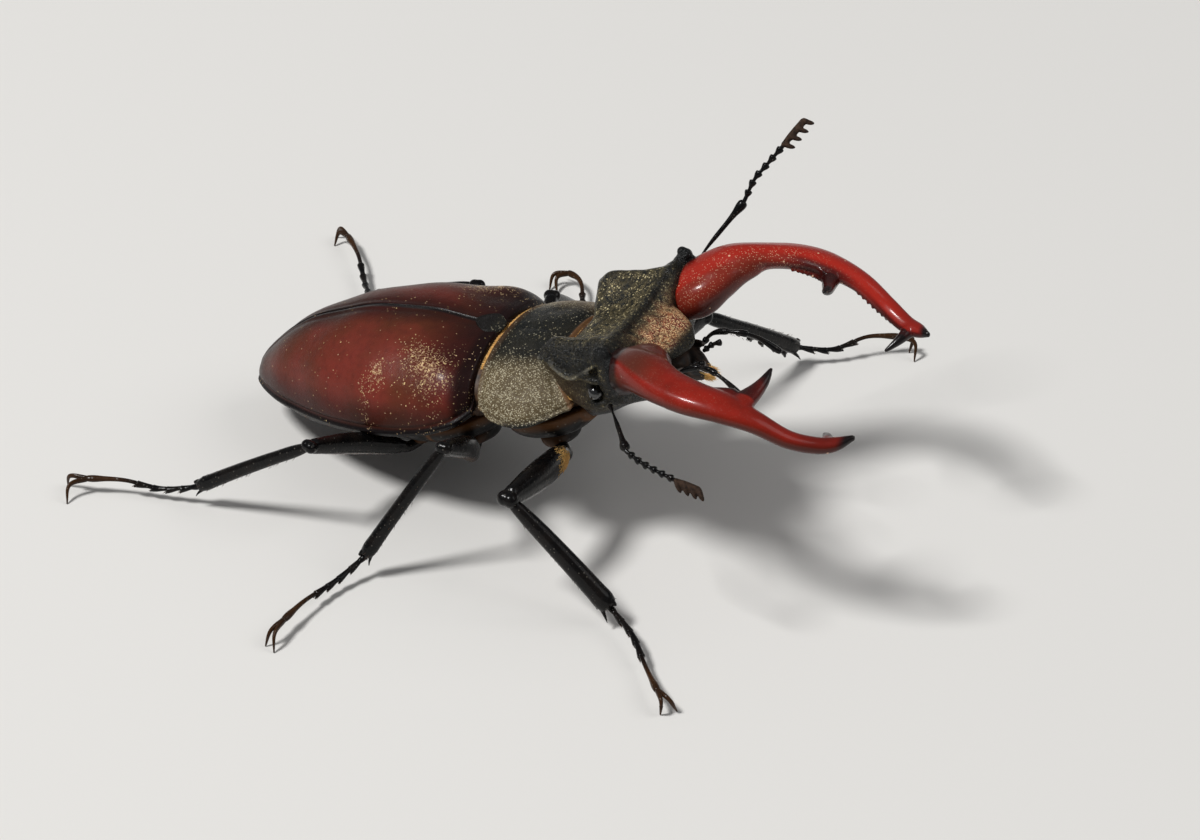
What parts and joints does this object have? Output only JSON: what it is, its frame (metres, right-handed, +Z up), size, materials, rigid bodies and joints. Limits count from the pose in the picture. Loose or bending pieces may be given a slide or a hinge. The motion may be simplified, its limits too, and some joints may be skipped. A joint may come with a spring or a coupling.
{
  "type": "stag beetle",
  "caption": "Life-size still model of a large male stag beetle, standing with its head and antlered jaws raised.",
  "frame": {"origin": "middle of the bounding box, at floor level", "axes": "+X the way the beetle faces, +Y to its left, +Z up"},
  "size_m": [0.072, 0.066, 0.0321],
  "materials": {
    "elytra": "satin chestnut brown with black margins",
    "pronotum": "black, finely speckled",
    "underside": "satin brown black",
    "head": "matt olive black",
    "mandible": "polished deep red with black edges",
    "eye": "gloss black",
    "mouth": "brown with golden bristles",
    "limb": "gloss black",
    "club": "matt dark brown"
  },
  "bodies": {
    "root": {"elytron_left": "elytra", "elytron_right": "elytra", "scutellum": "pronotum", "pronotum": "pronotum", "prothorax": "underside", "metathorax": "underside", "abdomen": "underside", "head": "head", "clypeus": "head", "mouthparts": "mouth", "eye_left": "eye", "mandible_left": "mandible", "maxillary_palp_left": "limb", "labial_palp_left": "limb", "antenna_scape_left": "limb", "antenna_funicle_left": "limb", "antenna_club_left": "club", "coxa_front_left": "underside", "coxa_middle_left": "underside", "coxa_hind_left": "underside", "eye_right": "eye", "mandible_right": "mandible", "maxillary_palp_right": "limb", "labial_palp_right": "limb", "antenna_scape_right": "limb", "antenna_funicle_right": "limb", "antenna_club_right": "club", "coxa_front_right": "underside", "coxa_middle_right": "underside", "coxa_hind_right": "underside", "femur_front_left": "limb", "tibia_front_left": "limb", "tarsus_front_left": "limb", "femur_middle_left": "limb", "tibia_middle_left": "limb", "tarsus_middle_left": "limb", "femur_hind_left": "limb", "tibia_hind_left": "limb", "tarsus_hind_left": "limb", "femur_front_right": "limb", "tibia_front_right": "limb", "tarsus_front_right": "limb", "femur_middle_right": "limb", "tibia_middle_right": "limb", "tarsus_middle_right": "limb", "femur_hind_right": "limb", "tibia_hind_right": "limb", "tarsus_hind_right": "limb"}
  },
  "joints": []
}
